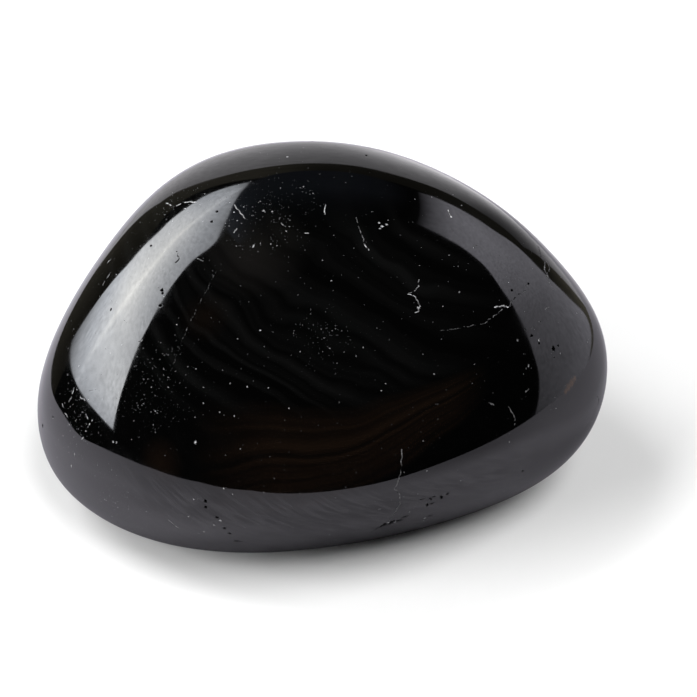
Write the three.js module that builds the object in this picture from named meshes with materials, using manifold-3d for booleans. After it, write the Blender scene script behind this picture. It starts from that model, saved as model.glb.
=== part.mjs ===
// An obsidian pebble, worn smooth in a tumbler, in millimetres with +Z up.
//
// Tumbling turns a broken lump into a set of shallow worn flats that melt into each other
// round soft rims. The pebble is modelled in just that way: each flat is a plane with the
// way it faces and its distance from the core, and one rounding exponent sets how tight
// the rims between neighbouring flats are. The lowest flat is the true resting face.

import * as THREE from 'three';
import { mergeVertices } from 'three/addons/utils/BufferGeometryUtils.js';
import Module from 'manifold-3d';

// Driving dimensions.
const RIM_TIGHTNESS = 7; // exponent of the blend: higher is nearer to a cut gem
const FACE_ROWS = 18; // each side of the starting icosahedron is split into this many
const REST_WEAR = 0.12; // depth that the underside is flattened where the pebble rests

// The worn flats: bearing round Z from +X and pitch above the horizon, both in degrees,
// with the distance from the core in millimetres. The front of the pebble looks along -Y.
const WORN_FLATS = [
  { name: 'crown', bearing: -90, pitch: 80, distance: 12.6 },
  { name: 'front slope', bearing: -90, pitch: 45, distance: 15.8 },
  { name: 'left shoulder', bearing: -153, pitch: 36, distance: 16.9 },
  { name: 'right shoulder', bearing: -28, pitch: 30, distance: 18.8 },
  { name: 'left front corner', bearing: -134, pitch: -9, distance: 22.6 },
  { name: 'right front corner', bearing: -55, pitch: -5, distance: 23 },
  { name: 'left end', bearing: 175, pitch: -10, distance: 23.8 },
  { name: 'right end', bearing: -6, pitch: -10, distance: 26.3 },
  { name: 'back left shoulder', bearing: 150, pitch: 30, distance: 16.2 },
  { name: 'back slope', bearing: 95, pitch: 50, distance: 14.8 },
  { name: 'back right shoulder', bearing: 45, pitch: 33, distance: 15.2 },
  { name: 'front underside', bearing: -89, pitch: -36, distance: 17.5 },
  { name: 'left underside', bearing: -135, pitch: -36, distance: 23.6 },
  { name: 'right underside', bearing: -59, pitch: -37, distance: 17.8 },
  { name: 'back underside', bearing: 90, pitch: -35, distance: 15.2 },
  { name: 'back left underside', bearing: 138, pitch: -20, distance: 18.1 },
  { name: 'back right underside', bearing: 35, pitch: -38, distance: 17.1 },
  { name: 'base', bearing: 90, pitch: -89, distance: 11.7 },
];

const wasm = await Module();
wasm.setup();

// A flat's outward direction divided by its distance: a point p lies on the flat's plane
// where p . gauge = 1, and inside it where the product is less.
function flatGauge({ bearing, pitch, distance }) {
  const round = THREE.MathUtils.degToRad(bearing);
  const up = THREE.MathUtils.degToRad(pitch);
  const facing = new THREE.Vector3(
    Math.cos(up) * Math.cos(round),
    Math.cos(up) * Math.sin(round),
    Math.sin(up),
  );
  return facing.divideScalar(distance);
}

// The distance from the core to the worn surface along a unit direction.
function wornRadius(direction, gauges) {
  let pressed = 0;
  for (const gauge of gauges) {
    pressed += Math.max(0, direction.dot(gauge)) ** RIM_TIGHTNESS;
  }
  return pressed ** (-1 / RIM_TIGHTNESS);
}

// A closed mesh with shared vertices, from any closed three.js geometry.
function weld(geometry) {
  const bare = geometry.clone();
  bare.deleteAttribute('normal');
  bare.deleteAttribute('uv');
  return mergeVertices(bare);
}

function toManifold(geometry) {
  const vertProperties = new Float32Array(geometry.attributes.position.array);
  const triVerts = new Uint32Array(geometry.index.array);
  return new wasm.Manifold(new wasm.Mesh({ numProp: 3, vertProperties, triVerts }));
}

function fromManifold(solid) {
  const { vertProperties, triVerts } = solid.getMesh();
  const geometry = new THREE.BufferGeometry();
  geometry.setAttribute('position', new THREE.BufferAttribute(vertProperties, 3));
  geometry.setIndex(new THREE.BufferAttribute(triVerts, 1));
  geometry.computeVertexNormals();
  return geometry;
}

// The tumbled lump: a ball whose points are pushed out or in to the worn surface.
function tumbledLump() {
  const gauges = WORN_FLATS.map(flatGauge);
  const lump = weld(new THREE.IcosahedronGeometry(1, FACE_ROWS - 1));
  const points = lump.attributes.position;
  const direction = new THREE.Vector3();
  for (let i = 0; i < points.count; i += 1) {
    direction.fromBufferAttribute(points, i).normalize();
    direction.multiplyScalar(wornRadius(direction, gauges));
    points.setXYZ(i, direction.x, direction.y, direction.z);
  }
  return lump;
}

// The lump with its underside flattened, then set down on the origin: the resting face
// lies at Z = 0 and the box round the pebble is centred on the Z axis.
function restingPebble() {
  const lump = tumbledLump();
  lump.computeBoundingBox();
  const size = lump.boundingBox.getSize(new THREE.Vector3());
  const floorHeight = lump.boundingBox.min.z + REST_WEAR;
  const floor = new THREE.BoxGeometry(2 * size.x, 2 * size.y, size.z);
  floor.translate(0, 0, floorHeight - size.z / 2);
  const pebble = fromManifold(toManifold(lump).subtract(toManifold(weld(floor))));
  pebble.computeBoundingBox();
  const middle = pebble.boundingBox.getCenter(new THREE.Vector3());
  return pebble.translate(-middle.x, -middle.y, -pebble.boundingBox.min.z);
}

const obsidian = new THREE.MeshStandardMaterial({
  color: 0x0b0a0b,
  roughness: 0.05,
  metalness: 0,
});

const pebble = new THREE.Mesh(restingPebble(), obsidian);
pebble.name = 'obsidian_pebble';

const part = new THREE.Group();
part.add(pebble);

export default part;
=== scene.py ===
import math

import bmesh
import bpy
import numpy as np
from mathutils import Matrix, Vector, kdtree, noise


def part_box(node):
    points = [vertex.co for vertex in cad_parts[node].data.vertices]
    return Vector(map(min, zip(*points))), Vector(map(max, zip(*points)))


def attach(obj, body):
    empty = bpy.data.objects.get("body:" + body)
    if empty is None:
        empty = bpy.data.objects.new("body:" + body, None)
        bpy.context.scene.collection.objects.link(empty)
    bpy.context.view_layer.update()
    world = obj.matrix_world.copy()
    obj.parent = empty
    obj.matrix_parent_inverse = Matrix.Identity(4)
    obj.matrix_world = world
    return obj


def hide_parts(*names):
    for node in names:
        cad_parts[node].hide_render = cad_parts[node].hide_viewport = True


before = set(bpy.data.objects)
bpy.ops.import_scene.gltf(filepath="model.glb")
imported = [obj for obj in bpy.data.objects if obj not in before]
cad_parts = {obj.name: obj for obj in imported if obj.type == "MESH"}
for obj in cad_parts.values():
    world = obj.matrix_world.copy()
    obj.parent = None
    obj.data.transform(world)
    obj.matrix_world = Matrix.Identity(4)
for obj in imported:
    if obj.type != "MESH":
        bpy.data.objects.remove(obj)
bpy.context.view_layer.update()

MM = 0.001
STONE_NODE = "obsidian_pebble"

# ---------------------------------------------------------------- the worn form
# Tumbling wears a broken lump into shallow flats that melt into each other round soft
# rims. Each flat is given by where it faces, as bearing round Z from +X and pitch above
# the horizon in degrees, and by its distance from the core in millimetres.

RIM_TIGHTNESS = 7
WORN_FLATS = (
    (-90, 80, 12.6),  # crown
    (-90, 45, 15.8),  # front slope
    (-153, 36, 16.9),  # left shoulder
    (-28, 30, 18.8),  # right shoulder
    (-134, -9, 22.6),  # left front corner
    (-55, -5, 23),  # right front corner
    (175, -10, 23.8),  # left end
    (-6, -10, 26.3),  # right end
    (150, 30, 16.2),  # back left shoulder
    (95, 50, 14.8),  # back slope
    (45, 33, 15.2),  # back right shoulder
    (-89, -36, 17.5),  # front underside
    (-135, -36, 23.6),  # left underside
    (-59, -37, 17.8),  # right underside
    (90, -35, 15.2),  # back underside
    (138, -20, 18.1),  # back left underside
    (35, -38, 17.1),  # back right underside
    (90, -89, 11.7),  # base
)
BASE_LEVEL = 7  # subdivisions of the icosphere that the pebble starts from

# The polish is not quite even: many faint waves run through the surface.
WAVES = 14
WAVE_HEIGHT = 0.0016 * MM  # of the longest
WAVE_LENGTHS = (3 * MM, 9 * MM)
WAVE_SEED = 4


def facing(bearing, pitch):
    """Unit direction from a bearing round Z and a pitch above the horizon, in degrees."""
    turn, rise = math.radians(bearing), math.radians(pitch)
    return np.array((
        math.cos(rise) * math.cos(turn),
        math.cos(rise) * math.sin(turn),
        math.sin(rise),
    ))


GAUGES = np.array([facing(b, p) / (d * MM) for b, p, d in WORN_FLATS])


def unit(vectors):
    return vectors / np.linalg.norm(vectors, axis=-1, keepdims=True)


def worn_points(directions):
    """Where rays from the core leave the worn surface."""
    pressed = np.maximum(directions @ GAUGES.T, 0) ** RIM_TIGHTNESS
    return directions * pressed.sum(-1, keepdims=True) ** (-1 / RIM_TIGHTNESS)


def worn_normals(directions):
    pressed = np.maximum(directions @ GAUGES.T, 0) ** (RIM_TIGHTNESS - 1)
    return unit(pressed @ GAUGES)


def polish_waves(places):
    """Height of the faint waves at each place, and the way they slope there."""
    rng = np.random.default_rng(WAVE_SEED)
    height, slope = np.zeros((len(places), 1)), np.zeros_like(places)
    for _ in range(WAVES):
        length = rng.uniform(*WAVE_LENGTHS)
        wave = unit(rng.normal(size=3)) * math.tau / length
        phase = (places @ wave + rng.uniform(0, math.tau))[:, None]
        size = WAVE_HEIGHT * length / WAVE_LENGTHS[1]
        height += size * np.sin(phase)
        slope += size * np.cos(phase) * wave
    return height, slope


# ---------------------------------------------------------------- flaws in the polish
# Every flaw is a chain of small dents. A crack is a line of waypoints, each a bearing and
# a pitch from the core, with its half width and depth in millimetres, how white its
# broken glass is, and the share of its length that is open.

CRACKS = (
    (0.045, 0.05, 0.16, 0.85, ((-71, 11), (-71.5, 8), (-72, 5.5), (-73, 2.5), (-72, 0.5))),
    (0.05, 0.07, 0.12, 0.8, ((-72, 0.5), (-71.5, -2.5), (-72, -5.5))),
    (0.05, 0.08, 0.06, 0.7, ((-72, -5.5), (-72.5, -9), (-73, -13))),
    (0.06, 0.12, 0.02, 0.8, ((-77, -18.5), (-75, -16.5), (-73, -13.5))),
    (0.08, 0.12, 0.02, 0.5, ((-68.5, -3), (-66, -3), (-63, -3.5), (-59, -4.5))),
    (0.42, 0.34, 0, 1, ((-73.2, -12.7), (-73.9, -14.8))),
    (0.34, 0.3, 0, 1, ((-71.5, -12), (-72, -13.6))),
    (0.18, 0.2, 0, 1, ((-62, -4.3), (-61.4, -5.4))),
    (0.16, 0.2, 0, 1, ((-64.6, -3.6), (-64.2, -4.5))),
    (0.16, 0.2, 0, 1, ((-64.8, -6), (-64.5, -7.2))),
    (0.042, 0.06, 0.50, 0.5, ((-143, 4), (-144, 2), (-144.5, -1), (-145.5, -2.5))),
    (0.05, 0.06, 0.45, 0.4, ((-146.5, -4.5), (-147, -7), (-148, -10), (-149, -13.5))),
    (0.045, 0.05, 0.40, 0.7, ((-153.5, 5), (-153, 3), (-153.5, 1.5))),
    (0.04, 0.04, 0.45, 0.8, ((-150, 5), (-148, 5.5))),
    (0.04, 0.04, 0.35, 0.6, ((-147.5, 3), (-146, 3.5), (-144.5, 3))),
    (0.04, 0.04, 0.40, 0.6, ((-155.5, 0), (-154, -0.5), (-152, -1))),
    (0.06, 0.05, 0.50, 0.8, ((177, 47), (180, 48.5))),
    (0.05, 0.05, 0.60, 0.8, ((-178.5, 50), (-179, 52), (-178.5, 54), (-177, 55.5))),
    (0.06, 0.05, 0.50, 0.8, ((-175, 51.5), (-174.5, 52.5))),
    (0.035, 0.04, 0.40, 0.8, ((-174, 27), (-174, 28.5))),
    (0.035, 0.04, 0.35, 0.8, ((-167, 24.5), (-168, 26), (-168, 28))),
    (0.045, 0.05, 0.45, 0.9, ((-169.5, 65), (-161.5, 65.5), (-154, 66), (-151, 66))),
    (0.04, 0.05, 0.5, 0.8, ((-59, 82.5), (-69, 80.5), (-72, 77.5))),
    (0.028, 0.04, 0.26, 0.7, ((-41, 72), (-48, 68.5), (-52, 65), (-55, 62))),
    (0.042, 0.05, 0.45, 0.8, ((-55, 62), (-55.5, 59.5))),
    (0.036, 0.05, 0.40, 0.7, ((-126, 72.5), (-119, 71.5), (-115.5, 70))),
    (0.045, 0.05, 0.40, 0.8, ((-98.5, 71), (-94.5, 71))),
    (0.04, 0.04, 0.40, 0.8, ((-129, 60), (-130, 61.5))),
    (0.035, 0.04, 0.30, 0.8, ((-145, 60.5), (-147, 62))),
    (0.036, 0.05, 0.60, 0.9, ((-47, 45), (-49, 43.5))),
    (0.028, 0.04, 0.30, 0.9, ((-49, 43.5), (-51.5, 43), (-54, 43))),
    (0.034, 0.04, 0.40, 0.9, ((-54, 43), (-52.5, 42), (-52.5, 40.5), (-53, 39), (-54.5, 38))),
    (0.05, 0.05, 0.60, 0.95, ((-54.5, 38), (-56, 38))),
    (0.021, 0.03, 0.15, 0.8, ((-52, 32), (-48, 31), (-44, 30), (-40, 29))),
    (0.026, 0.03, 0.22, 0.85, ((-40, 29), (-36, 29), (-31.5, 29))),
    (0.05, 0.05, 0.60, 0.9, ((-34.5, 30.5), (-32, 29.5), (-31, 28.5))),
    (0.05, 0.07, 0.08, 0.6, ((-31, 28.5), (-29, 29), (-26, 29), (-23, 28))),
    (0.05, 0.06, 0.10, 0.5, ((-22, 29), (-20.5, 28.5))),
    (0.05, 0.06, 0.05, 0.6, ((-25.5, 22), (-25, 21))),
    (0.05, 0.06, 0.10, 0.6, ((-22, 22), (-19.5, 21.5))),
    (0.05, 0.06, 0.06, 0.5, ((-31.5, 23), (-30, 22), (-28, 21.5))),
    (0.06, 0.08, 0.03, 0.95, ((-4, 28.5), (-8, 28), (-8.5, 26.5))),
    (0.06, 0.08, 0.22, 0.9, ((-8.5, 26.5), (-11.5, 26.5), (-12, 25.5), (-14, 24))),
    (0.045, 0.06, 0.15, 0.8, ((-6.5, 27), (-7.5, 26), (-9, 25), (-13, 25.5), (-14, 23))),
    (0.06, 0.05, 0.50, 0.8, ((-8.5, 51.5), (-10.5, 51), (-12.5, 50))),
    (0.04, 0.05, 0.10, 0.5, ((-22.5, 47.5), (-25, 47))),
    (0.04, 0.05, 0.08, 0.4, ((-21.5, 43), (-20.5, 42))),
    (0.045, 0.04, 0.35, 0.9, ((-49, 14.5), (-48, 13.5), (-48, 13))),
    (0.035, 0.04, 0.32, 0.9, ((-44.5, 11.5), (-44, 10), (-43.5, 8.5), (-44, 7))),
    (0.045, 0.04, 0.45, 0.9, ((-38.5, 12), (-37.5, 12))),
    (0.05, 0.06, 0.05, 0.8, ((-15.5, -3.5), (-15, -5), (-15.5, -6))),
    (0.02, 0.02, 0.05, 0.7, ((-134, 48), (-131.5, 42.5), (-129.5, 35), (-128, 28), (-127, 22.5))),
    (0.05, 0.08, 0.02, 0.95, ((-154, 45.5), (-150.5, 45), (-149.5, 43.5))),
    (0.03, 0.04, 0.05, 0.8, ((-145, 48), (-142, 48.5))),
    (0.03, 0.04, 0.05, 0.8, ((-148, 7.5), (-147, 8.5))),
    (0.03, 0.03, 0.05, 0.8, ((-140.5, 24), (-139.5, 25))),
    (0.05, 0.05, 0.40, 0.8, ((-120, -8.5), (-118.5, -11))),
    # round the sides and the back
    (0.045, 0.05, 0.35, 0.8, ((62, 18), (66, 14), (67, 9), (72, 5))),
    (0.035, 0.04, 0.25, 0.7, ((118, 40), (112, 36), (109, 30), (103, 27))),
    (0.05, 0.06, 0.45, 0.5, ((150, 5), (153, 1), (152, -4))),
    (0.05, 0.05, 0.50, 0.8, ((25, 42), (28, 40))),
    (0.04, 0.04, 0.30, 0.8, ((88, 58), (92, 55), (91, 52))),
    (0.05, 0.06, 0.40, 0.5, ((12, 12), (15, 8), (14, 3), (18, -1))),
    (0.045, 0.05, 0.30, 0.8, ((-165, -24), (-160, -26), (-156, -31))),
)

# Single pits: bearing, pitch, half width in millimetres and whiteness.
PITS = (
    (-71.5, -12.5, 0.08, 0.6), (-70, -12.5, 0.32, 0.04), (-69, -10.5, 0.23, 0.03),
    (-68.5, -8, 0.08, 0.3), (-74.5, -15.5, 0.25, 0.04), (-63.5, -6.5, 0.16, 0.1),
    (-62.5, -16, 0.09, 0.5), (-61.5, -15, 0.18, 0.1), (-60.5, -4, 0.14, 0.05),
    (-111, 0.5, 0.14, 0.1), (-111, -1, 0.13, 0.05), (-109, -3.5, 0.13, 0.05),
    (-108.5, -4.5, 0.09, 0.7), (-108, -7.5, 0.14, 0.1), (-107.5, -10, 0.16, 0.1),
    (-107, -15, 0.24, 0.05), (-110, -6.5, 0.06, 0.5), (-113, -10.5, 0.07, 0.5),
    (-114.5, -12, 0.06, 0.3), (-115, -5, 0.05, 0.5), (-107.5, 4, 0.05, 0.6),
    (-135, 3.5, 0.08, 0.6), (-134, 4, 0.05, 0.4), (-162, -9.5, 0.13, 0.1),
    (-157.5, -4.5, 0.1, 0.1), (115, 70, 0.09, 0.7), (51.5, 64.5, 0.12, 0.1),
    (-34, 65.5, 0.07, 0.6), (-35.5, 64, 0.1, 0.7), (-32.5, 63.5, 0.08, 0.6),
    (-38, 64, 0.07, 0.5), (-20.5, 28.5, 0.1, 0.05), (-26.5, 30.5, 0.09, 0.05),
    (-30, 20.5, 0.1, 0.05), (-28.5, 18.5, 0.08, 0.8), (-29, 18, 0.09, 0.1),
    (-25.5, 14.5, 0.17, 0.03), (-23.5, 14, 0.09, 0.05), (-26.5, 13, 0.07, 0.1),
    (-35, 16, 0.07, 0.8), (-36, 16, 0.04, 0.4), (-34.5, 22, 0.08, 0.3),
    (-39.5, 37.5, 0.05, 0.3), (-59, 24, 0.06, 0.4), (-145, 36.5, 0.12, 0.04),
    (-144, 36, 0.09, 0.04), (-141.5, 33.5, 0.13, 0.03), (-156.5, 24, 0.09, 0.04),
    (-164, 41, 0.09, 0.1), (-166, 60, 0.09, 0.05), (-160, 57.5, 0.09, 0.05),
    (-115, 11.5, 0.08, 0.75), (-111, 24, 0.04, 0.45), (-106.5, 24, 0.05, 0.5),
    (-111.5, 18, 0.04, 0.4), (-113, 34, 0.04, 0.4), (-151.5, 72, 0.07, 0.35),
    (-145.5, 74, 0.06, 0.4), (-16, -20, 0.1, 0.1), (-40, -8, 0.1, 0.1),
    (-72.7, -12.2, 0.1, 0.7), (-70.7, -13.1, 0.11, 0.7), (-70.3, -11.8, 0.08, 0.6),
)
STRAY_PITS = 46  # more of them anywhere
STRAY_SIZES = (0.03, 0.055)
STRAY_WHITENESS = (0.03, 0.3, 0.5)
BLACK_PIT, BLACK_PIT_DEPTH, WHITE_PIT_DEPTH = 0.2, 1.7, 0.9  # whiteness; half widths
DARKEST, PAINTED_SHADE_RIM = 0.015, 0.4  # a dent less white than this gets painted shade, black and fully metallic, which fades out over this share of its half width by its rim
FLAW_SEED = 11
DENT_STEP = 0.03  # millimetres between the dents of a crack
# Along a crack its strength, its way and its whiteness change: how often in a millimetre,
# and by how much.
MEAN_STRENGTH, STRENGTH_PACE, STRENGTH_CHANGE = 0.5, 2.3, 0.9
WANDER_PACE, WANDER = 3.1, 0.09  # millimetres to either side
MEAN_SPARKLE, SPARKLE_PACE, SPARKLE = 0.9, 4, 2.2
GRAIN = (0.5, 1.5)  # and how much the whiteness differs from dent to dent
SHUT_BELOW = 1.2  # a crack with no share open is shut where its strength is under this
LEAST_GIRTH, GIRTH_GAIN = 0.5, 0.35  # a crack's size where it is weakest, and its gain
RAGGEDNESS, RAG_LENGTH = 0.7, 0.08 * MM  # of a dent's rim
RIVAL_DENTS = 4  # the deepest of this many near a place is the one that counts
REFINED_RINGS = (0.42, 0.2, 0.09)  # how far round a dent each refinement reaches
DENT_SHADING = (1, 1.25)  # between these half widths a dent's shading fades into the polish


def crack_dents(rng):
    """The dents along every crack: direction, half width, depth and whiteness of each."""
    for half_width, depth, whiteness, share_open, waypoints in CRACKS:
        line = worn_points(np.array([facing(b, p) for b, p in waypoints])) / MM
        phase, travelled = rng.uniform(0, 50), 0
        for start, end in zip(line, line[1:]):
            steps = max(1, round(np.linalg.norm(end - start) / DENT_STEP))
            sideways = unit(np.cross(end - start, start))
            for step in range(steps):
                travelled += DENT_STEP
                change = noise.noise((travelled * STRENGTH_PACE + phase, 0, 0))
                strength = MEAN_STRENGTH + STRENGTH_CHANGE * change
                if strength < SHUT_BELOW * (1 - share_open):
                    continue
                wander = WANDER * noise.noise((travelled * WANDER_PACE, phase, 9))
                place = start + (end - start) * step / steps + sideways * wander
                girth = LEAST_GIRTH + GIRTH_GAIN * min(1, max(0, strength))
                change = noise.noise((travelled * SPARKLE_PACE, phase, 3))
                sparkle = max(0, MEAN_SPARKLE + SPARKLE * change)
                white = whiteness * sparkle * rng.uniform(*GRAIN)
                yield unit(place), half_width * girth, depth * girth, white


def pit(direction, half_width, whiteness):
    """A black pit is a deep hole with no whiteness, which the material also paints black as
    shade; a white one is a shallow chip.
    """
    if whiteness < BLACK_PIT:
        return direction, half_width, half_width * BLACK_PIT_DEPTH, 0
    return direction, half_width, half_width * WHITE_PIT_DEPTH, whiteness


def pit_dents(rng):
    for bearing, pitch, half_width, whiteness in PITS:
        yield pit(facing(bearing, pitch), half_width, whiteness)
    for _ in range(STRAY_PITS):
        whiteness = rng.choice(STRAY_WHITENESS)
        yield pit(unit(rng.normal(size=3)), rng.uniform(*STRAY_SIZES), whiteness)


def all_dents():
    """Places on the worn surface from the core, with reach, depth and whiteness."""
    rng = np.random.default_rng(FLAW_SEED)
    dents = [*crack_dents(rng), *pit_dents(rng)]
    places = worn_points(np.array([dent[0] for dent in dents]))
    reach, depth, whiteness = np.array([dent[1:] for dent in dents]).T
    return places, reach * MM, depth * MM, whiteness


def tree_of(dents):
    """A tree that finds the dents nearest to a place."""
    tree = kdtree.KDTree(len(dents))
    for index, dent in enumerate(dents):
        tree.insert(dent, index)
    tree.balance()
    return tree


def nearest_dents(places, tree):
    """A few of the nearest dents to each place, and how far away each of them is."""
    found = [tree.find_n(place, RIVAL_DENTS) for place in places]
    index = np.array([[dent[1] for dent in dents] for dents in found])
    return index, np.array([[dent[2] for dent in dents] for dents in found])


def vertex_places(bm):
    return np.array([v.co for v in bm.verts])


def place_vertices(bm, places):
    for vertex, place in zip(bm.verts, places):
        vertex.co = place


def refine_round_dents(bm, tree, reach):
    """Cut the mesh finer and finer towards the dents, staying on the worn surface."""
    for ring in REFINED_RINGS:
        bm.verts.index_update()
        index, away = nearest_dents(vertex_places(bm), tree)
        near = (away < reach[index] + ring * MM).any(1)
        edges = [e for e in bm.edges if near[e.verts[0].index] and near[e.verts[1].index]]
        bmesh.ops.subdivide_edges(bm, edges=edges, cuts=1, use_grid_fill=True)
        bmesh.ops.triangulate(bm, faces=bm.faces)
        place_vertices(bm, worn_points(unit(vertex_places(bm))))


def core_in_box(places, low, high):
    """Where the core lies when the worn form fills the box from low to high."""
    middle = (np.array(low) + np.array(high)) / 2
    core = middle - (places.min(0) + places.max(0)) / 2
    core[2] = high.z - places[:, 2].max()
    return core


def deepest_dents(places, tree, reach, depth, whiteness):
    """For each place: how deep it is dented, how near it is to the dent's rim, how white
    that dent is, and how many half widths away the nearest dent lies."""
    index, away = nearest_dents(places, tree)
    ragged = np.array([[1 + RAGGEDNESS * noise.noise(p / RAG_LENGTH)] for p in places])
    edges = np.clip(away * ragged / reach[index], 0, 1)
    depths = depth[index] * (1 - edges ** 2) ** 2
    deepest = depths.argmax(1)[:, None]
    edge = np.take_along_axis(edges, deepest, 1)[:, 0]
    white = whiteness[np.take_along_axis(index, deepest, 1)[:, 0]]
    return depths.max(1)[:, None], edge, white, (away / reach[index]).min(1)


def store(bm, **values):
    """Keep a number of each name on every vertex, where the material reads it."""
    for name, numbers in values.items():
        layer = bm.verts.layers.float.new(name)
        for vertex, number in zip(bm.verts, numbers):
            vertex[layer] = number


def shade_between_dents(mesh, polished_normals, clearance):
    """Shade the mesh by its own form in the dents and as the even polish elsewhere."""
    mesh.shade_smooth()
    dented = np.empty(len(polished_normals) * 3)
    mesh.vertex_normals.foreach_get("vector", dented)
    start, end = DENT_SHADING
    share = np.clip((end - clearance) / (end - start), 0, 1)[:, None]
    mesh.normals_split_custom_set_from_vertices(
        unit(polished_normals * (1 - share) + dented.reshape(-1, 3) * share)
    )


def build_pebble():
    low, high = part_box(STONE_NODE)
    dents, reach, depth, whiteness = all_dents()
    tree = tree_of(dents)

    bm = bmesh.new()
    bmesh.ops.create_icosphere(bm, subdivisions=BASE_LEVEL, radius=1)
    place_vertices(bm, worn_points(unit(vertex_places(bm))))
    refine_round_dents(bm, tree, reach)

    directions = unit(vertex_places(bm))
    places, normals = worn_points(directions), worn_normals(directions)
    core = core_in_box(places, low, high)
    dented, edge, white, clearance = deepest_dents(places, tree, reach, depth, whiteness)
    height, slope = polish_waves(places)
    polished_normals = unit(
        normals - slope + normals * (slope * normals).sum(1, keepdims=True)
    )
    places = places + normals * (height - dented) + core
    places[:, 2] = np.maximum(places[:, 2], low.z)

    place_vertices(bm, places)
    inside = (1 - edge) ** 0.5
    # Painted shade: mark the black dents to be coloured black, fading out towards their rims.
    painted_shade_share = np.clip((1 - edge) / PAINTED_SHADE_RIM, 0, 1) * (white < DARKEST)
    store(bm, broken=inside, chalky=inside * white, hollow=painted_shade_share)
    bmesh.ops.recalc_face_normals(bm, faces=bm.faces)
    mesh = bpy.data.meshes.new(STONE_NODE)
    bm.to_mesh(mesh)
    bm.free()
    shade_between_dents(mesh, polished_normals, clearance)
    pebble = bpy.data.objects.new("polished_pebble", mesh)
    bpy.context.scene.collection.objects.link(pebble)
    return pebble, Vector(core)


# ---------------------------------------------------------------- obsidian
BLACK_GLASS = (0.0005, 0.0005, 0.0005, 1)
BROWN_GLASS = (0.0046, 0.0027, 0.0017, 1)
GREY_GLASS = (0.0026, 0.0026, 0.0026, 1)
HAZY_GLASS = (0.0062, 0.0056, 0.0052, 1)
SMEARED_GLASS = (0.018, 0.0175, 0.019, 1)
BROKEN_GLASS = (0.75, 0.75, 0.77, 1)
FAINT_DUST = (0.018, 0.018, 0.02, 1)
BRIGHT_DUST = (0.4, 0.4, 0.42, 1)
PAINTED_HOLLOW_SHADE = (0, 0, 0, 1)  # painted shade: black put in the deepest black dents, where the glass is also made fully metallic to mirror nothing
RUST = (0.042, 0.021, 0.009, 1)
REFRACTION = 1.5

POLISH = (0.03, 0.08)  # roughness, from the best polished places to the haziest
WEAR_STEPS = (0.35, 0.7)  # the wear pattern at those two
# How much of each it takes to be fully rough, and how rough that is.
BROKEN_ROUGH, CHALKY_ROUGH, DUST_ROUGH = (0.4, 0.35), (0.25, 0.65), (1, 0.6)

# The brown layers fan out from a line across the right of the pebble. The grey ones lie
# side by side at a slant. Both wander, and both are uneven in thickness.
FAN_ACROSS, FAN_HEIGHT, FAN_SPAN = 16, 18.5, 22  # millimetres
FAN_BLUNTNESS = 4
BAND_SWIRL, BAND_RIPPLE = (0.09, 1.3), (0.3, 0.3)  # how often in a millimetre, how far
BROWN_LAYERS = ((-0.6, -2), (-9.5, -7.5))  # where the brown layers fade in and out
BROWN_WIDTH = ((-8.5, -3), (11.5, 9))  # millimetres across the pebble
BROWN_PACE, BROWN_STEPS, LEAST_BROWN = 1.1, (0.4, 0.62), 0.25
BROWN_SPOTS = (  # bearing, pitch, reach in millimetres and strength
    (-121.6, 5.5, 1.9, 0.8),
    (-126, 36.5, 2, 0.4),
)
GREY_SLANT = 0.36  # how steeply the grey layers fall to the right
GREY_PACE, GREY_STEPS = 1, (0.42, 0.7)
GREY_LAYERS, GREY_WIDTH, GREY_HEIGHT = ((-1.6, 0.4),), ((13, 6),), ((24, 23.2),)
GREY_PAST_LAYERS, GREY_PAST_WIDTH, GREY_PAST_HEIGHT = 0.12, 0.1, 0.15  # share left there
HAZY_SPOT = (-128, 60, 4.2)  # bearing, pitch and reach in millimetres
HAZE_STEPS, LEAST_HAZE = (0.35, 0.6), 0.55
SMEARS_WITHIN = {"X": ((-15, -9), (18, 12)), "Y": ((2, -6),), "Z": ((13.2, 11.5),)}
SMEAR_TILT = 38  # degrees
SMEAR_STRETCH = (2.9, 2.9, 0.38)
SMEAR_STEPS = (0.4, 0.66)

DUST_SPACING = 0.14  # millimetres
SPECK_SIZES = (0.08, 0.3)  # a speck's radius as a share of that spacing
SPECK_WOBBLE, WOBBLE_PACE = 0.12, 9  # how ragged a speck is
RARITY_OF_LARGE, RARITY_OF_BRIGHT = 3, 4  # the higher, the fewer
CLEAN_SHARE, DUSTY_SHARE = 0.06, 0.9  # share of the places that hold a speck
DUSTY_PATCHES = (  # bearing, pitch and reach in millimetres
    (-179, 51, 2.5),
    (-148, 1, 4),
    (-130, 17, 4.5),
    (-147, 72, 5),
    (-87, 37, 3),
    (-132, -9, 4),
    (60, 30, 4),
)
IRON_STAIN = (  # bearing, pitch and reach in millimetres
    (-26.6, 4.9, 0.28),
    (-25.3, 5.1, 0.4),
    (-23.9, 5.15, 0.42),
    (-22.5, 5.3, 0.3),
)
STAIN_EDGE = (0.1, 0.6)
# where the painted black shade in a black dent fades in
PAINTED_SHADE_EDGE = (0.2, 0.9)


def put(material, kind, inputs, **settings):
    """Add a shader node with its settings, and feed its inputs by value or by link."""
    node = material.node_tree.nodes.new(kind)
    for name, value in settings.items():
        setattr(node, name, value)
    for name, value in inputs.items():
        if isinstance(value, bpy.types.NodeSocket):
            material.node_tree.links.new(value, node.inputs[name])
        else:
            node.inputs[name].default_value = value
    return node


def ramp(material, value, start, end, low=0, high=1):
    inputs = {"Value": value, "From Min": start, "From Max": end, "To Min": low, "To Max": high}
    return put(material, "ShaderNodeMapRange", inputs).outputs["Result"]


def blend(material, share, first, second):
    inputs = {"Factor": share, "A": first, "B": second}
    return put(material, "ShaderNodeMix", inputs, data_type="RGBA").outputs["Result"]


def combine(material, operation, first, second):
    return put(material, "ShaderNodeMath", {0: first, 1: second}, operation=operation).outputs[0]


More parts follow.
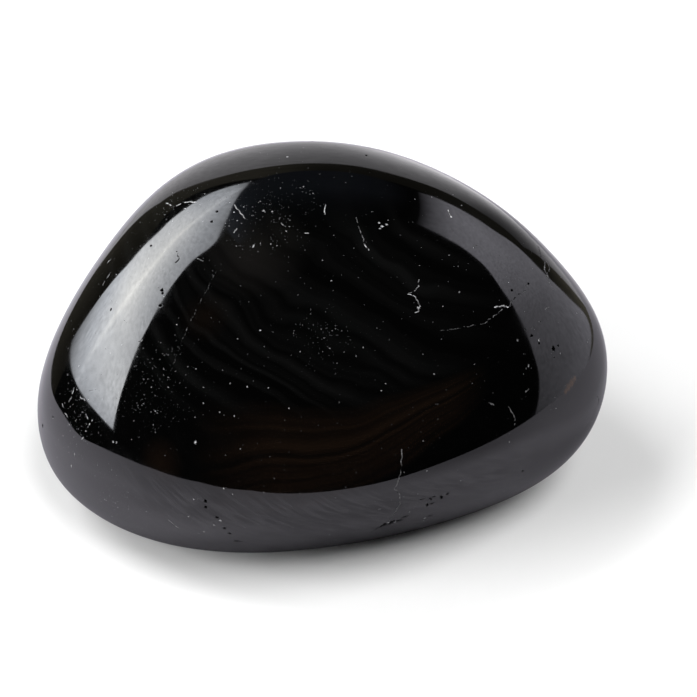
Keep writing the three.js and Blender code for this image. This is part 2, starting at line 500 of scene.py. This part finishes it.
def attribute(material, name):
    return put(material, "ShaderNodeAttribute", {}, attribute_name=name).outputs["Fac"]


def in_millimetres(material):
    place = put(material, "ShaderNodeTexCoord", {}).outputs["Object"]
    inputs = {0: place, "Scale": 1 / MM}
    return put(material, "ShaderNodeVectorMath", inputs, operation="SCALE").outputs[0]


def swirl(material, place, pace, reach):
    shape = put(material, "ShaderNodeTexNoise", {"Vector": place, "Scale": pace, "Detail": 1})
    return ramp(material, shape.outputs[0], 0.2, 0.8, -reach, reach)


def layered(material, flow, pace):
    """Layers of uneven thickness across the flow."""
    inputs = {"W": flow, "Scale": pace, "Detail": 2.4}
    return put(material, "ShaderNodeTexNoise", inputs, noise_dimensions="1D").outputs[0]


def within(material, share, value, limits, least=0):
    """That share, faded to its least outside each pair of limits for the value."""
    for start, end in limits:
        share = combine(material, "MULTIPLY", share, ramp(material, value, start, end, least, 1))
    return share


def up_the_fan(material, split, wander):
    """How high a place lies in the fan, in millimetres where it is as wide as its span."""
    rise = combine(material, "SUBTRACT", split["Z"], FAN_HEIGHT)
    across = combine(material, "SUBTRACT", FAN_ACROSS, split["X"])
    across = combine(material, "MAXIMUM", across, FAN_BLUNTNESS)
    fan = combine(material, "DIVIDE", combine(material, "MULTIPLY", rise, FAN_SPAN), across)
    return combine(material, "ADD", fan, wander)


def brown_layers(material, place, core, split, fan):
    layers = layered(material, fan, BROWN_PACE)
    brown = ramp(material, layers, *BROWN_STEPS, LEAST_BROWN, 1)
    brown = within(material, brown, fan, BROWN_LAYERS)
    brown = within(material, brown, split["X"], BROWN_WIDTH)
    for spot in BROWN_SPOTS:
        patch = patch_on_surface(material, place, core, *spot)
        brown = combine(material, "MAXIMUM", brown, patch)
    return brown


def flow_bands(material, place, core):
    """Shares of brown, of grey and of hazy glass in the layers of the lava flow."""
    split = put(material, "ShaderNodeSeparateXYZ", {0: place}).outputs
    wander = combine(
        material, "ADD",
        swirl(material, place, *BAND_SWIRL), swirl(material, place, *BAND_RIPPLE),
    )
    fan = up_the_fan(material, split, wander)
    brown = brown_layers(material, place, core, split, fan)

    slant = combine(material, "MULTIPLY", split["X"], GREY_SLANT)
    slant = combine(material, "ADD", combine(material, "ADD", split["Z"], slant), wander)
    layers = layered(material, slant, GREY_PACE)
    grey = ramp(material, layers, *GREY_STEPS)
    grey = within(material, grey, fan, GREY_LAYERS, GREY_PAST_LAYERS)
    grey = within(material, grey, split["X"], GREY_WIDTH, GREY_PAST_WIDTH)
    grey = within(material, grey, split["Z"], GREY_HEIGHT, GREY_PAST_HEIGHT)
    haze = patch_on_surface(material, place, core, *HAZY_SPOT, 1)
    layers = ramp(material, layers, *HAZE_STEPS, LEAST_HAZE, 1)
    return brown, grey, combine(material, "MULTIPLY", haze, layers)


def smears(material, place):
    """Streaks of a thin haze that the last polish left low down on the front."""
    split = put(material, "ShaderNodeSeparateXYZ", {0: place}).outputs
    tilt = (0, math.radians(SMEAR_TILT), 0)
    brushed = put(
        material, "ShaderNodeMapping",
        {"Vector": place, "Rotation": tilt, "Scale": SMEAR_STRETCH},
        vector_type="TEXTURE",
    ).outputs[0]
    inputs = {"Vector": brushed, "Scale": 1.4, "Detail": 5}
    streaks = put(material, "ShaderNodeTexNoise", inputs).outputs[0]
    share = ramp(material, streaks, *SMEAR_STEPS)
    for axis, limits in SMEARS_WITHIN.items():
        share = within(material, share, split[axis], limits)
    return share


def patch_on_surface(material, place, core, bearing, pitch, reach, most):
    """A round patch that fades from the most in its middle to nothing at its reach."""
    middle = (worn_points(facing(bearing, pitch)) + core) / MM
    inputs = {0: place, 1: middle}
    away = put(material, "ShaderNodeVectorMath", inputs, operation="DISTANCE").outputs["Value"]
    return ramp(material, away, 0, reach, most, 0)


def dustiness(material, place, core):
    """How likely a speck of dust is: high in a few patches, low anywhere else."""
    dusty = CLEAN_SHARE
    for spot in DUSTY_PATCHES:
        patch = patch_on_surface(material, place, core, *spot, DUSTY_SHARE)
        dusty = combine(material, "MAXIMUM", patch, dusty)
    return dusty


def dust_specks(material, place, core):
    """Where the specks of dust lie, and the colour of each."""
    inputs = {"Vector": place, "Scale": WOBBLE_PACE}
    wobble = put(material, "ShaderNodeTexNoise", inputs).outputs["Color"]
    ragged = put(
        material, "ShaderNodeVectorMath", {0: wobble, 1: (SPECK_WOBBLE,) * 3, 2: place},
        operation="MULTIPLY_ADD",
    ).outputs[0]
    cells = put(material, "ShaderNodeTexVoronoi", {"Vector": ragged, "Scale": 1 / DUST_SPACING})
    chance = put(material, "ShaderNodeSeparateColor", {0: cells.outputs["Color"]}).outputs
    held = combine(material, "LESS_THAN", chance["Red"], dustiness(material, place, core))
    large = combine(material, "POWER", chance["Green"], RARITY_OF_LARGE)
    size = ramp(material, large, 0, 1, *SPECK_SIZES)
    inside = combine(material, "LESS_THAN", cells.outputs["Distance"], size)
    bright = combine(material, "POWER", chance["Blue"], RARITY_OF_BRIGHT)
    colour = blend(material, bright, FAINT_DUST, BRIGHT_DUST)
    return combine(material, "MULTIPLY", held, inside), colour


def stained(material, place, core, glass):
    """The glass with a few small spots of rust on it."""
    for spot in IRON_STAIN:
        stain = patch_on_surface(material, place, core, *spot, 1)
        glass = blend(material, ramp(material, stain, *STAIN_EDGE), glass, RUST)
    return glass


def roughness(material, place, reasons):
    """The polish, worn here and there, and rougher wherever a reason asks for it."""
    wear = put(material, "ShaderNodeTexNoise", {"Vector": place, "Scale": 0.3, "Detail": 5})
    rough = ramp(material, wear.outputs[0], *WEAR_STEPS, *POLISH)
    for reason, (full, roughest) in reasons:
        rough = combine(material, "MAXIMUM", rough, ramp(material, reason, 0, full, 0, roughest))
    return rough


def obsidian(core):
    material = bpy.data.materials.new("polished_obsidian")
    material.use_nodes = True
    shader = material.node_tree.nodes["Principled BSDF"]
    place = in_millimetres(material)

    brown, grey, haze = flow_bands(material, place, core)
    glass = blend(material, grey, BLACK_GLASS, GREY_GLASS)
    glass = blend(material, brown, glass, BROWN_GLASS)
    glass = blend(material, haze, glass, HAZY_GLASS)
    glass = blend(material, smears(material, place), glass, SMEARED_GLASS)
    glass = stained(material, place, core, glass)

    specks, dust = dust_specks(material, place, core)
    broken, chalky = attribute(material, "broken"), attribute(material, "chalky")
    colour = blend(material, specks, glass, dust)
    colour = blend(material, chalky, colour, BROKEN_GLASS)
    # Painted shade: the deepest black dents are coloured black and made fully metallic, so that
    # there the glass mirrors nothing.
    hollow = ramp(material, attribute(material, "hollow"), *PAINTED_SHADE_EDGE)
    colour = blend(material, hollow, colour, PAINTED_HOLLOW_SHADE)
    reasons = (broken, BROKEN_ROUGH), (chalky, CHALKY_ROUGH), (specks, DUST_ROUGH)
    rough = roughness(material, place, reasons)
    for name, value in (("Metallic", hollow), ("Base Color", colour), ("Roughness", rough)):
        material.node_tree.links.new(value, shader.inputs[name])
    shader.inputs["IOR"].default_value = REFRACTION
    return material


# ---------------------------------------------------------------- camera
CAMERA_PITCH = 38  # degrees above the table
LENS, SENSOR_WIDTH = 120, 36  # millimetres
NEAREST_SEEN = 10 * MM
VIEW_WIDTH = 51.25 * MM  # what the view takes in at the pebble's core
CORE_OFFSET = (2.43 * MM, -1.1 * MM)  # how far right and up of the core the camera aims


def place_camera(core):
    camera = bpy.data.objects.new("camera", bpy.data.cameras.new("camera"))
    camera.data.lens = LENS
    camera.data.sensor_width = SENSOR_WIDTH
    camera.data.clip_start = NEAREST_SEEN
    pitch = math.radians(CAMERA_PITCH)
    back = Vector((0, -math.cos(pitch), math.sin(pitch)))
    up = Vector((0, math.sin(pitch), math.cos(pitch)))
    right = Vector((1, 0, 0))
    aim = core + right * CORE_OFFSET[0] + up * CORE_OFFSET[1]
    camera.location = aim + back * (VIEW_WIDTH * LENS / SENSOR_WIDTH)
    camera.rotation_mode = "QUATERNION"
    camera.rotation_quaternion = back.to_track_quat("Z", "Y")
    bpy.context.scene.collection.objects.link(camera)
    bpy.context.scene.camera = camera


# ---------------------------------------------------------------- studio
# Turns here are measured from the front, towards +X, as a person at the camera counts.
# A light or a card is a panel bent through the studio. Each of its stations crosses it
# from one long edge to the other: the turn and rise of both edges, then how brightly it
# shines at the first edge, along its seam and at the second.

STRIP_LIGHT = (
    (-126.2, -8.8, -94, -5.4, 0.4, 3.4, 5.2),
    (-126.6, -2.5, -96, 5, 2.4, 6.6, 8),
    (-125.9, 6, -97, 14, 4.8, 9.1, 8),
    (-125.6, 14, -98, 23, 7, 11.6, 7.4),
    (-128.3, 22.5, -99.5, 32, 7.6, 11.6, 6.6),
    (-132.5, 30.4, -104, 42, 7.8, 11, 6.2),
    (-139, 35.2, -114, 52, 7.4, 10.6, 5.8),
    (-147, 39.4, -130, 58.8, 6.6, 9.6, 5),
    (-155, 40.8, -145, 61, 4.6, 7.4, 4.2),
    (-162, 42, -157, 57.3, 3.9, 6.2, 3.4),
    (-166, 42.6, -163, 52.5, 3.1, 4.8, 3.1),
    (-169.5, 43, -168, 46, 1.5, 1.8, 1.5),
)
SIDE_CARD = (
    (106, -17.5, 91, -21, 0.5, 0.45, 0.3),
    (120, -15.5, 95, -10, 0.64, 0.6, 0.42),
    (134, -15, 97, -3, 0.68, 0.68, 0.52),
    (130.5, -8, 97.2, 5, 0.76, 0.76, 0.7),
    (128, 1, 97.3, 14, 0.92, 0.88, 0.82),
    (128.5, 10, 98.5, 26, 1.1, 1.25, 1.12),
    (133, 20, 103, 39, 1.2, 1.55, 1.5),
    (140, 31.5, 112, 48, 1.3, 1.9, 1.85),
    (149, 36.5, 127, 55.5, 1.4, 2.05, 1.95),
    (158, 39, 144, 59, 1.5, 1.9, 1.85),
    (163, 40, 157, 59.4, 0.95, 1.15, 1.05),
    (167, 41.5, 165, 58.5, 0.06, 0.07, 0.06),
)
DIM_SCREEN = (
    (168, 43, 168, 57, 0, 0, 0),
    (176, 39, 176, 61, 0.04, 0.05, 0),
    (184, 39, 184, 62, 0.05, 0.06, 0),
    (190, 43.5, 190, 62, 0.06, 0.07, 0),
    (197, 52, 197, 63, 0.12, 0.15, 0.02),
    (205, 60, 205, 64, 0.2, 0.2, 0.1),
)
BACKDROP = (
    (-149, -26, -149, 9, 0.6, 0.9, 0.9),
    (-156, -26, -156, 22.8, 0.65, 1, 1),
    (-164, -26, -164, 30.5, 0.7, 1, 1),
    (-172, -26, -172, 32.2, 0.7, 0.92, 0.92),
    (-180, -26, -180, 31, 0.7, 0.75, 0.7),
    (-189, -26, -189, 31.5, 1.7, 1.4, 0.75),
    (-198, -26, -198, 28.5, 1.9, 1.2, 0.7),
    (-207, -26, -209, 25, 1.2, 0.7, 0.25),
    (-215.5, -26, -224, 13, 1, 0.5, 0.2),
)
BROWN_WALL = (
    (-120, -24, -120, 20, 0.06, 0.02, 0.02),
    (-145, -24, -145, 30, 0.06, 0.07, 0.12),
    (-170, -24, -170, 41, 0.1, 0.12, 0.16),
    (-180, -24, -180, 40, 0.1, 0.12, 0.05),
    (-195, -24, -195, 40, 0.08, 0.08, 0.04),
    (-213, -24, -213, 38, 0.2, 0.05, 0.06),
    (-228, -24, -228, 30, 0.2, 0.04, 0.06),
    (-240, -24, -240, 30, 0.2, 0.04, 0.06),
)
SEAM_PLACE, SEAM_WIDTH = 0.46, 0.02  # as a share of the way across a panel
SEAM_GAIN = 0.28  # how much brighter the strip light is along its seam
FALLING_OFF = 1.5  # how the shine falls off past the seam
PANEL_DISTANCE, SCREEN_DISTANCE, WALL_DISTANCE = 700 * MM, 710 * MM, 730 * MM
PANEL_ROWS, PANEL_COLUMNS = 120, 32
UNEVEN = (0.8, 1.2)  # how much the brightness of a panel varies
UNEVEN_STEPS = (0.3, 0.7)
WARM = (1, 1, 0.98, 1)  # the colour of every panel where it shines brightest
WARMING = (5, 12)  # the brightness at which it starts and ends turning to that
PANELS = (  # with its distance, its colour where it is dim, and the gain along its seam
    ("strip_light", STRIP_LIGHT, PANEL_DISTANCE, (0.94, 0.98, 1.05, 1), SEAM_GAIN),
    ("side_card", SIDE_CARD, PANEL_DISTANCE, (0.99, 0.97, 1.08, 1), 0),
    ("dim_screen", DIM_SCREEN, SCREEN_DISTANCE, (0.85, 0.98, 1.3, 1), 0),
    ("backdrop", BACKDROP, PANEL_DISTANCE, (1, 0.98, 1.02, 1), 0),
    ("brown_wall", BROWN_WALL, WALL_DISTANCE, (1.08, 1, 0.78, 1), 0),
)
LAMPS = (  # with its turn, its rise and its spread in degrees, and its strength
    ("right_lamp", 40, 60, 30, 2.3),
    ("left_lamp", -60, 35, 30, 2.3),
    ("high_lamp", -100, 55, 30, 1.8),
)

TABLE_EDGES = (  # the two ends of each row across the table, in millimetres, front to back
    (-112, -152, -26, -109),
    (-92, -62, -5, -70),
    (-70, -28, 12, -49),
    (-52, -9, 35, -38),
    (-46, -3, 50, -11),
    (-48, 5, 57, 4),
    (-44, 14, 56, 18),
    (-41, 24, 47, 30),
    (-40, 45, 43, 45),
    (-40, 75, 48, 75),
)
PAPER_TONE, MIRRORED_TONE = (0.9, 0.9, 0.9, 1), (0.9, 0.87, 0.97, 1)
MIRRORED_PAPER = 0.62  # how bright the pebble mirrors the paper, away from the painted shade
PAINTED_PEBBLE_SHADE = (8 * MM, 31 * MM)  # painted shade: the mirrored paper is black within the first distance from the pebble and fully bright past the second
PAINTED_CARD_SHADE = (16 * MM, 36 * MM)  # painted shade of the side card: across this stretch of X the mirrored paper darkens
# how much of its brightness the mirrored paper keeps past the painted card shade
PAINTED_CARD_SHADE_LEFT = 0.6
# How bright everything past the panels is: to the camera, to the paper and to the gloss.
WHITE_BEYOND, AMBIENT, DARK_STUDIO = 1.1, 0.07, 0.005


def from_front(turn, rise, distance):
    """A place at that turn from the front towards +X, and rise above the table."""
    return Vector(facing(turn - 90, rise)) * distance


def between_stations(stations, along):
    """The station at a fraction of the way along, on a smooth curve through them all."""
    rows = np.array(stations, float)
    rows = np.vstack((2 * rows[0] - rows[1], rows, 2 * rows[-1] - rows[-2]))
    place = along * (len(stations) - 1)
    start = min(int(place), len(stations) - 2)
    t = place - start
    a, b, c, d = rows[start:start + 4]
    return b + t / 2 * (c - a + t * (2 * a - 5 * b + 4 * c - d + t * (3 * b - 3 * c + d - a)))


def ray_switch(material, ray, otherwise, then):
    """A number that is one thing for rays of that kind and another for all the rest."""
    path = put(material, "ShaderNodeLightPath", {})
    return ramp(material, path.outputs[ray], 0, 1, otherwise, then)


def glow(name, dim_colour):
    """Light as strong as the mesh says, in its own colour where it is dim."""
    material = bpy.data.materials.new(name)
    material.use_nodes = True
    material.node_tree.nodes.clear()
    strength = attribute(material, "glow")
    colour = blend(material, ramp(material, strength, *WARMING), dim_colour, WARM)
    uneven = put(material, "ShaderNodeTexNoise", {"Scale": 45, "Detail": 4}).outputs[0]
    uneven = ramp(material, uneven, *UNEVEN_STEPS, *UNEVEN)
    strength = combine(material, "MULTIPLY", strength, uneven)
    light = put(material, "ShaderNodeEmission", {"Color": colour, "Strength": strength})
    put(material, "ShaderNodeOutputMaterial", {"Surface": light.outputs["Emission"]})
    return material


def build_grid(name, stations, material, set_vertex):
    """A grid laid along stations; set_vertex places each vertex from its station."""
    bm = bmesh.new()
    bmesh.ops.create_grid(bm, x_segments=PANEL_ROWS, y_segments=PANEL_COLUMNS, size=1)
    brightness = bm.verts.layers.float.new("glow")
    for vertex in bm.verts:
        along, across = (vertex.co.x + 1) / 2, (vertex.co.y + 1) / 2
        station = between_stations(stations, along)
        vertex.co, vertex[brightness] = set_vertex(station, across)
    mesh = bpy.data.meshes.new(name)
    bm.to_mesh(mesh)
    bm.free()
    mesh.materials.append(material)
    piece = bpy.data.objects.new(name, mesh)
    bpy.context.scene.collection.objects.link(piece)
    return piece


def build_panel(name, stations, distance, dim_colour, seam_gain):
    """A bent panel that only the pebble's gloss sees."""
    def set_vertex(station, across):
        first_end, second_end = station[:2], station[2:4]
        shine_first, shine_seam, shine_second = station[4:]
        if across < SEAM_PLACE:
            shine = shine_first + (shine_seam - shine_first) * across / SEAM_PLACE
        else:
            left = (1 - across) / (1 - SEAM_PLACE)
            shine = shine_second + (shine_seam - shine_second) * left ** FALLING_OFF
        spike = math.exp(-((across - SEAM_PLACE) / SEAM_WIDTH) ** 2)
        turn, rise = first_end + (second_end - first_end) * across
        return from_front(turn, rise, distance), max(0, shine) * (1 + seam_gain * spike)

    panel = build_grid(name, stations, glow(f"{name}_glow", dim_colour), set_vertex)
    panel.visible_camera = False
    panel.visible_diffuse = False


def paper():
    """White paper. The pebble mirrors it dimmed, with painted shade that darkens it close to the
    pebble and across the side card's stretch.
    """
    material = bpy.data.materials.new("white_paper")
    material.use_nodes = True
    shader = material.node_tree.nodes["Principled BSDF"]
    shader.inputs["Roughness"].default_value = 0.9
    shader.inputs["Specular IOR Level"].default_value = 0
    place = put(material, "ShaderNodeTexCoord", {}).outputs["Object"]
    away = put(material, "ShaderNodeVectorMath", {0: place}, operation="LENGTH").outputs["Value"]
    across = put(material, "ShaderNodeSeparateXYZ", {0: place}).outputs["X"]
    # Painted shade in the paper as the pebble mirrors it: dark near the pebble and towards the
    # side card.
    gloss_dim_and_painted_shade = combine(
        material, "MULTIPLY", ramp(material, away, *PAINTED_PEBBLE_SHADE, 0, MIRRORED_PAPER),
        ramp(material, across, *PAINTED_CARD_SHADE, 1, PAINTED_CARD_SHADE_LEFT),
    )
    mirrored = ray_switch(material, "Is Glossy Ray", 0, 1)
    darker = blend(material, gloss_dim_and_painted_shade, (0, 0, 0, 1), MIRRORED_TONE)
    tone = blend(material, mirrored, PAPER_TONE, darker)
    material.node_tree.links.new(tone, shader.inputs["Base Color"])
    return material


def build_table():
    def set_vertex(station, across):
        x, y = station[:2] + (station[2:] - station[:2]) * across
        return (x * MM, y * MM, 0), 0

    build_grid("table", TABLE_EDGES, paper(), set_vertex)


def build_lamp(name, turn, rise, spread, strength):
    """A soft lamp that lights the table and isn't mirrored in the pebble."""
    lamp = bpy.data.objects.new(name, bpy.data.lights.new(name, "SUN"))
    lamp.data.energy = strength
    lamp.data.angle = math.radians(spread)
    lamp.rotation_mode = "QUATERNION"
    lamp.rotation_quaternion = from_front(turn, rise, 1).to_track_quat("Z", "Y")
    lamp.visible_glossy = False
    bpy.context.scene.collection.objects.link(lamp)


def light_the_world():
    world = bpy.data.worlds.new("studio")
    bpy.context.scene.world = world
    world.use_nodes = True
    background = world.node_tree.nodes["Background"]
    background.inputs["Color"].default_value = (1, 1, 1, 1)
    seen = ray_switch(world, "Is Camera Ray", 0, WHITE_BEYOND)
    lighting = ray_switch(world, "Is Diffuse Ray", DARK_STUDIO, AMBIENT)
    strength = combine(world, "MAXIMUM", seen, lighting)
    world.node_tree.links.new(strength, background.inputs["Strength"])


def build_studio():
    build_table()
    for panel in PANELS:
        build_panel(*panel)
    for lamp in LAMPS:
        build_lamp(*lamp)
    light_the_world()


# ---------------------------------------------------------------- assembly

bpy.context.scene.view_settings.view_transform = "Standard"
pebble, core = build_pebble()
pebble.data.materials.append(obsidian(np.array(core)))
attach(pebble, "root")
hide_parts(STONE_NODE)
place_camera(core)
build_studio()
